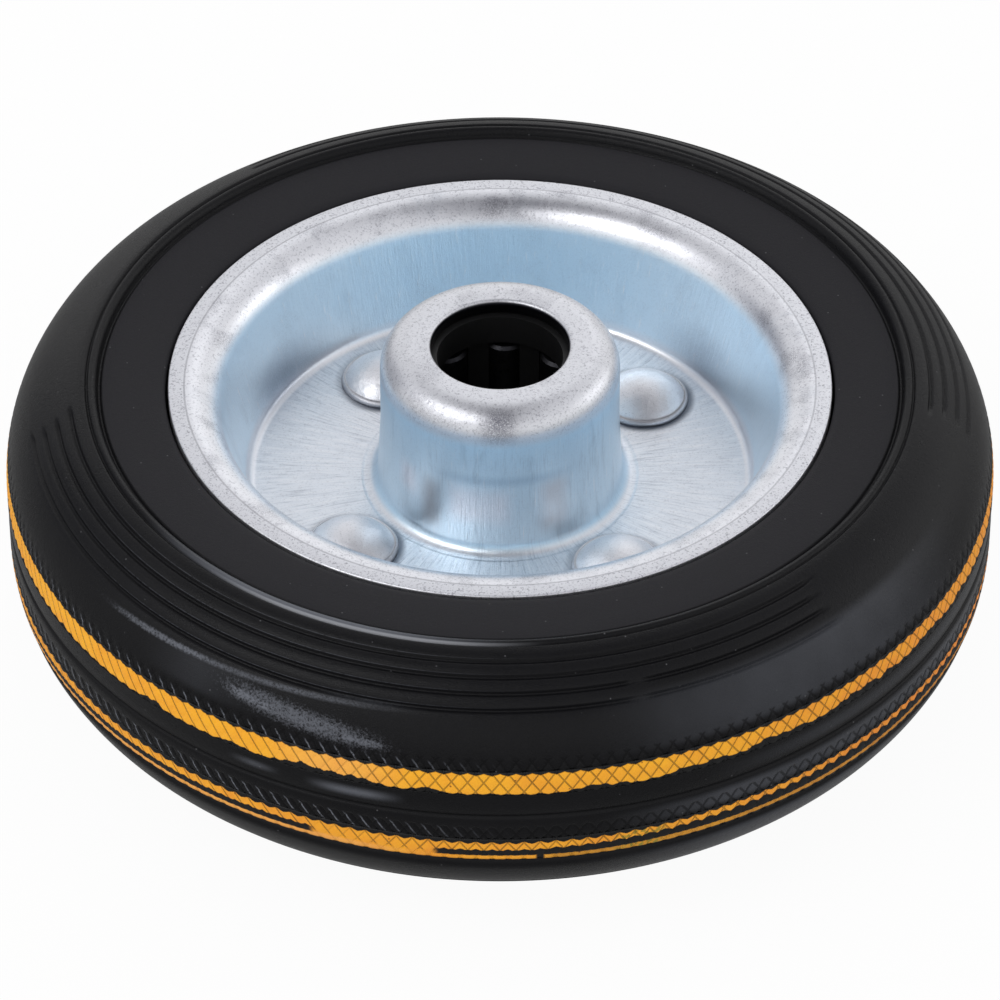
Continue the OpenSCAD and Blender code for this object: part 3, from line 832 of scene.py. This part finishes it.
def tyre_bands(sizes, rim):
    """The five bands of the tyre's section, from below, each with the depth of its relief."""
    side, shares, side_angles = shoulder_side(sizes)
    upper_side = np.concatenate([side[1:], bore_side(rim, sizes)])
    bottom, top = RING_BOTTOM * MM, RING_TOP * MM
    lower_side = np.concatenate([turned_over(upper_side), channel(-top, -bottom, sizes)])
    run = 1 - in_pad(np.degrees(round_angles(COARSE)), side_angles[1:])
    upper_relief = np.zeros((len(upper_side), COARSE))
    upper_relief[:len(side) - 1] = sizes.groove_depth * shares[1:, None] * run
    lower_relief = np.zeros((len(lower_side), COARSE))
    lower_relief[:len(upper_side)] = upper_relief[::-1]
    knurled = []
    for start, end, rows in ((-RING_BOTTOM, KNURL_TOPS[1], 8), (RING_TOP, KNURL_TOPS[0], 6)):
        line = tread(np.linspace(start + CHANNEL_GAP / MM, end, rows), sizes)
        depth = knurl_depths(line[:, 1], COARSE * FINE_SHARE, sizes)
        depth[-1] *= 0.25
        knurled.append((line, depth))
    middle = tread([*MIDDLE_HEIGHTS, RING_BOTTOM - 0.1], sizes)
    middle[:, 0] -= moulding_line(middle[:, 1] / MM) * MM
    middle = np.concatenate([middle, channel(bottom, top, sizes)])
    return [(lower_side, lower_relief), knurled[0], (middle, np.zeros((len(middle), COARSE))), knurled[1],
            (upper_side, upper_relief)]


def make_tyre(sizes, rim, material):
    """The tyre: five bands of rings, the knurled ones finer, joined by fans into one closed skin."""
    points, quads, triangles, rings = [], [], [], []
    first = 0
    for line, depth in tyre_bands(sizes, rim):
        rows, columns = depth.shape
        points.append(carried_round(line, columns, depth).reshape(-1, 3))
        quads.append(ring_quads(first, rows, columns, False))
        rings.append((first, first + (rows - 1) * columns, columns))
        first += rows * columns
    column = np.arange(COARSE)
    right = (column + 1) % COARSE
    for lower, upper in zip(rings, rings[1:] + rings[:1]):
        below, above = lower[1], upper[0]
        if lower[2] == upper[2]:
            quads.append(np.stack([below + column, below + right, above + right, above + column], 1))
        elif upper[2] > COARSE:
            triangles.append(ring_fans(below, COARSE, above, FINE_SHARE, True))
        else:
            triangles.append(ring_fans(above, COARSE, below, FINE_SHARE, False))
    make_piece("tyre_skin", np.concatenate(points), np.concatenate(quads), np.concatenate(triangles),
               material, "wheel", ["tyre"])


def make_yellow_ring(half, side, sizes, material):
    """A yellow ring: its knurled face follows the tread, and its back is a plain square channel."""
    z = np.linspace(RING_BOTTOM, RING_TOP, 12) * MM * side
    if side < 0:
        z = z[::-1]
    columns = COARSE * FINE_SHARE
    face = np.stack([crown(z, sizes), z], 1)
    back_r = (TREAD_R - RING_DEPTH) * MM
    section = np.concatenate([face, [(back_r, z[-1]), (back_r, z[0])]])
    depth = np.zeros((len(section), columns))
    depth[:len(face)] = knurl_depths(z, columns, sizes) * (1 if side > 0 else LOWER_KNURL_SHARE)
    points = carried_round(section, columns, depth).reshape(-1, 3)
    make_piece(half + "_yellow_inlay", points, ring_quads(0, len(section), columns, True), NO_TRIANGLES,
               material, "wheel", ["yellow_ring_" + half])


def rim_section(rim):
    """Section of the upper rim half, anticlockwise: the seen side inwards, then the back outwards."""
    top = HUB_TOP * MM
    t = rim.sheet_t
    lean = math.degrees(rim.wall_lean)
    root_cr = rim.hub_foot_r + rim.root_r
    root_z = t - 0.1 * MM
    back_root = root_cr - (rim.hub_r - t)
    flange_r = FLANGE_R * MM
    curl_z = rim.flange_z - rim.curl_r
    corner = 0.2 * MM
    seen = [
        [(flange_r, rim.flange_z - t), (flange_r, rim.flange_z - t / 2)],
        arc(flange_r - corner, rim.flange_z - corner, corner, 0, 90, 4),
        arc(rim.curl_cr, curl_z, rim.curl_r, 90, 180 - lean, 20),
        arc(rim.foot_cr, t + rim.foot_r, rim.foot_r, -lean, -90, 12),
        [(root_cr + 0.45 * MM, t), (root_cr + 0.35 * MM, t - 0.02 * MM), (root_cr + 0.25 * MM, root_z)],
        arc(root_cr, root_z + rim.root_r, rim.root_r, 270, 180, 12),
        [(rim.hub_r, 9 * MM)],
        arc(rim.hub_r - rim.hub_round, top - rim.hub_round, rim.hub_round, 0, 90, 20),
        arc(rim.lip_r + rim.lip_round, top - rim.lip_round, rim.lip_round, 90, 180, 10),
        [(rim.lip_r, top - t)],
    ]
    back = [
        arc(rim.hub_r - rim.hub_round, top - rim.hub_round, rim.hub_round - t, 90, 0, 8),
        arc(root_cr, back_root, back_root, 180, 270, 10),
        arc(rim.foot_cr, t + rim.foot_r, rim.foot_r + t, -90, -lean, 8),
        arc(rim.curl_cr, curl_z, rim.curl_r - t, 180 - lean, 90, 8),
    ]
    return np.concatenate(seen + back)


def make_rim_half(half, side, rim, material):
    """A rim half: its section carried round the axle, the lower one turned over."""
    section = rim_section(rim)
    if side < 0:
        section = turned_over(section)
    points = carried_round(section, RIM_COLUMNS).reshape(-1, 3)
    make_piece(half + "_rim_pressing", points, ring_quads(0, len(section), RIM_COLUMNS, True), NO_TRIANGLES,
               material, "wheel", ["rim_half_" + half])


def make_rivet(node, rim, material, turn):
    """A rivet: a domed head on a thin skirt at each end of a shank, carried round its own axis."""
    low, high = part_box(node)
    middle = (np.array(low) + np.array(high)) / 2
    t = rim.sheet_t
    head_r, head_h, skirt = rim.rivet_r, rim.rivet_h, rim.rivet_skirt
    dome_r = head_r - 0.45 * MM
    rise = head_h - skirt
    ball = (dome_r ** 2 + rise ** 2) / (2 * rise)
    edge = math.degrees(math.acos(dome_r / ball))
    upper = np.concatenate([
        [(RIVET_SHANK_R * MM, t), (head_r - 0.05 * MM, t), (head_r, t + skirt * 0.25),
         (head_r - 0.04 * MM, t + skirt * 0.6), (head_r - 0.2 * MM, t + skirt * 0.9),
         (head_r - 0.4 * MM, t + skirt)],
        arc(0, t + head_h - ball, ball, edge - 1.5, 89.2, 18)])
    section = np.concatenate([turned_over(upper), upper])
    rows = len(section)
    angle = round_angles(RIVET_COLUMNS)
    wobble = 1 + 0.006 * np.sin(2 * angle + turn) + 0.005 * np.sin(5 * angle + 2.3 * turn) - 0.011
    rings = carried_round(section, RIVET_COLUMNS)
    rings[:, :, :2] *= wobble[None, :, None]
    points = np.concatenate([rings.reshape(-1, 3), [(0, 0, section[0, 1]), (0, 0, section[-1, 1])]])
    column = np.arange(RIVET_COLUMNS)
    right = (column + 1) % RIVET_COLUMNS
    bottom_pole = np.full(RIVET_COLUMNS, rows * RIVET_COLUMNS)
    last = (rows - 1) * RIVET_COLUMNS
    caps = np.concatenate([np.stack([bottom_pole, right, column], 1),
                           np.stack([last + column, last + right, bottom_pole + 1], 1)])
    points = points + np.array([middle[0], middle[1], 0])
    make_piece(node + "_head", points, ring_quads(0, rows, RIVET_COLUMNS, False), caps, material,
               "wheel", [node])


# Half the width of the floor, in metres
FLOOR_HALF = 4.0
WHITE = (1, 1, 1, 1)
# Area lamps: name, place in metres, width, height, and power as a share of the key light's
LAMPS = (("key_softbox", (-0.56, -0.42, 0.80), 0.60, 0.36, 1.6),
         ("right_softbox", (0.95, 0.18, 0.32), 0.42, 0.30, 0.35),
         ("back_softbox", (0.25, 0.95, 0.75), 0.55, 0.22, 0.2))


class WHEEL_OT_tyre(bpy.types.Operator):
    """Make the tyre with its ribs, pads and knurl"""
    bl_idname = "wheel.tyre"
    bl_label = "Tyre"

    def execute(self, context):
        scene = context.scene
        material = rubber_material("knurled_rubber", scene.wheel_colours, scene.wheel_tyre)
        make_tyre(scene.wheel_tyre, scene.wheel_rim, material)
        return {"FINISHED"}


class WHEEL_OT_yellow_rings(bpy.types.Operator):
    """Make the two inlaid yellow rings"""
    bl_idname = "wheel.yellow_rings"
    bl_label = "Yellow rings"

    def execute(self, context):
        scene = context.scene
        material = yellow_material("knurled_yellow", scene.wheel_colours, scene.wheel_tyre)
        for half, side in HALVES:
            make_yellow_ring(half, side, scene.wheel_tyre, material)
        return {"FINISHED"}


class WHEEL_OT_rim(bpy.types.Operator):
    """Make the two pressed rim halves"""
    bl_idname = "wheel.rim"
    bl_label = "Rim halves"

    def execute(self, context):
        scene = context.scene
        material = zinc_material("bright_zinc", scene.wheel_colours)
        for half, side in HALVES:
            make_rim_half(half, side, scene.wheel_rim, material)
        return {"FINISHED"}


class WHEEL_OT_rivets(bpy.types.Operator):
    """Make the four rivets"""
    bl_idname = "wheel.rivets"
    bl_label = "Rivets"

    def execute(self, context):
        scene = context.scene
        material = rivet_material("dull_rivet", scene.wheel_colours)
        for number, node in enumerate(RIVETS):
            make_rivet(node, scene.wheel_rim, material, 1.7 * number)
        return {"FINISHED"}


class WHEEL_OT_bearing(bpy.types.Operator):
    """Finish the cage and the rollers of the bearing"""
    bl_idname = "wheel.bearing"
    bl_label = "Roller bearing"

    def execute(self, context):
        # Both tints are darker than bare plastic and steel: painted shade deep in the hub, with grease on
        # the rollers
        plastic = bearing_material("black_cage", (0.004, 0.004, 0.0045), 0.0, 0.42, 0.7)
        steel = bearing_material("oiled_steel_in_painted_shade", (0.04, 0.04, 0.045), 1.0, 0.40, 1.1)
        for name in ("roller_cage",) + ROLLERS:
            finish = plastic if name == "roller_cage" else steel
            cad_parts[name].material_slots[0].material = finish
        return {"FINISHED"}


class WHEEL_OT_stage(bpy.types.Operator):
    """Make the floor, the room's light, the lamps and the camera"""
    bl_idname = "wheel.stage"
    bl_label = "Stage"

    def execute(self, context):
        scene = context.scene
        scene.view_settings.view_transform = "Standard"
        stage = scene.wheel_stage
        self.make_floor(scene)
        self.make_room(scene, stage)
        for name, place, width, height, share in LAMPS:
            softbox(scene, name, place, width, height, stage.key_power * share)
        self.make_camera(scene, stage)
        return {"FINISHED"}

    def make_floor(self, scene):
        """A flat floor under the wheel's lower hub end, white to the camera but for the shadow."""
        mesh = bpy.data.meshes.new("floor")
        corners = [(x * FLOOR_HALF, y * FLOOR_HALF, cad_box[0].z)
                   for x, y in ((-1, -1), (1, -1), (1, 1), (-1, 1))]
        mesh.from_pydata(corners, [], [(0, 1, 2, 3)])
        floor = bpy.data.objects.new("floor", mesh)
        scene.collection.objects.link(floor)
        material = bpy.data.materials.new("pale_floor")
        paint = Paint(material)
        matte = paint.node("ShaderNodeBsdfDiffuse", values={"Color": (*scene.wheel_colours.floor, 1)})
        white = paint.node("ShaderNodeEmission", values={"Color": WHITE, "Strength": 1.0})
        dim = paint.node("ShaderNodeEmission", values={"Color": WHITE, "Strength": 0.35})
        seen = paint.ray("Camera", "Transmission") * 0.95
        mixed = paint.node("ShaderNodeMixShader", values={0: seen, 1: matte, 2: white})
        mixed = paint.node("ShaderNodeMixShader", values={0: paint.ray("Glossy"), 1: mixed, 2: dim})
        paint.node("ShaderNodeOutputMaterial", values={"Surface": mixed})
        mesh.materials.append(material)

    def make_room(self, scene, stage):
        """A pale room: white to the camera and to metal near the horizon, darker overhead."""
        world = bpy.data.worlds.new("pale_room")
        scene.world = world
        paint = Paint(world)
        side, front, up = paint.parts(paint.node("ShaderNodeTexCoord", output=0))
        over = paint.rise(up, 0.50, 0.80) * paint.rise(front, 0.50, 0.15)
        over = over * paint.band(side, -0.34, 0.20, 0.14)
        left = paint.rise(side, -0.45, -0.75) * paint.band(front, 0.15, 0.75, 0.15)
        left = left * paint.rise(up, 0.65, 0.45)
        tone = paint.layered((1.0, 1.0, 1.0), (paint.rise(up, 0.25, 0.6), (0.75, 0.75, 0.77)),
                             (left, (0.26, 0.27, 0.31)), (over, (0.06, 0.06, 0.08)))
        back = paint.node("ShaderNodeBackground", values={"Color": tone, "Strength": 1.0})
        fill = paint.node("ShaderNodeBackground", values={"Color": WHITE, "Strength": stage.sky_strength})
        seen = paint.ray("Camera", "Glossy", "Transmission")
        mixed = paint.node("ShaderNodeMixShader", values={0: seen, 1: fill, 2: back})
        paint.node("ShaderNodeOutputWorld", values={"Surface": mixed})

    def make_camera(self, scene, stage):
        """The camera, on a circle round the wheel's middle, tipped a little below it."""
        camera = bpy.data.objects.new("camera", bpy.data.cameras.new("camera"))
        scene.collection.objects.link(camera)
        camera.data.lens = stage.lens
        camera.data.sensor_width = 36
        camera.data.clip_start = 0.01
        camera.data.clip_end = 50
        camera.location = (0, -stage.camera_away * math.cos(stage.camera_up),
                           stage.camera_away * math.sin(stage.camera_up))
        camera.rotation_euler = (math.pi / 2 - stage.camera_up - stage.camera_dip, 0, 0)
        scene.camera = camera


def softbox(scene, name, place, width, height, power):
    """An area lamp at a place in metres that faces the wheel's middle."""
    lamp = bpy.data.objects.new(name, bpy.data.lights.new(name, "AREA"))
    lamp.data.shape = "RECTANGLE"
    lamp.data.size = width
    lamp.data.size_y = height
    lamp.data.energy = power
    scene.collection.objects.link(lamp)
    lamp.location = place
    lamp.rotation_mode = "QUATERNION"
    lamp.rotation_quaternion = lamp.location.to_track_quat("Z", "Y")


OPERATORS = (WHEEL_OT_tyre, WHEEL_OT_yellow_rings, WHEEL_OT_rim, WHEEL_OT_rivets, WHEEL_OT_bearing,
             WHEEL_OT_stage)
GROUPS = (("wheel_tyre", TyreSizes), ("wheel_rim", RimSizes), ("wheel_colours", WheelColours),
          ("wheel_stage", StageSizes))


class WHEEL_PT_panel(bpy.types.Panel):
    """Lists the wheel's pieces and their sizes"""
    bl_idname = "WHEEL_PT_panel"
    bl_label = "Trolley wheel"
    bl_space_type = "VIEW_3D"
    bl_region_type = "UI"
    bl_category = "Trolley wheel"

    def draw(self, context):
        for operator in OPERATORS:
            self.layout.operator(operator.bl_idname)
        for name, group in GROUPS:
            box = self.layout.box()
            for size in group.__annotations__:
                box.prop(getattr(context.scene, name), size)


def register():
    for name, group in GROUPS:
        bpy.utils.register_class(group)
        setattr(bpy.types.Scene, name, bpy.props.PointerProperty(type=group))
    for operator in OPERATORS:
        bpy.utils.register_class(operator)
    bpy.utils.register_class(WHEEL_PT_panel)


def unregister():
    bpy.utils.unregister_class(WHEEL_PT_panel)
    for operator in reversed(OPERATORS):
        bpy.utils.unregister_class(operator)
    for name, group in reversed(GROUPS):
        delattr(bpy.types.Scene, name)
        bpy.utils.unregister_class(group)


def main():
    register()
    bpy.ops.wheel.tyre()
    bpy.ops.wheel.yellow_rings()
    bpy.ops.wheel.rim()
    bpy.ops.wheel.rivets()
    bpy.ops.wheel.bearing()
    bpy.ops.wheel.stage()


if __name__ == "__main__":
    main()
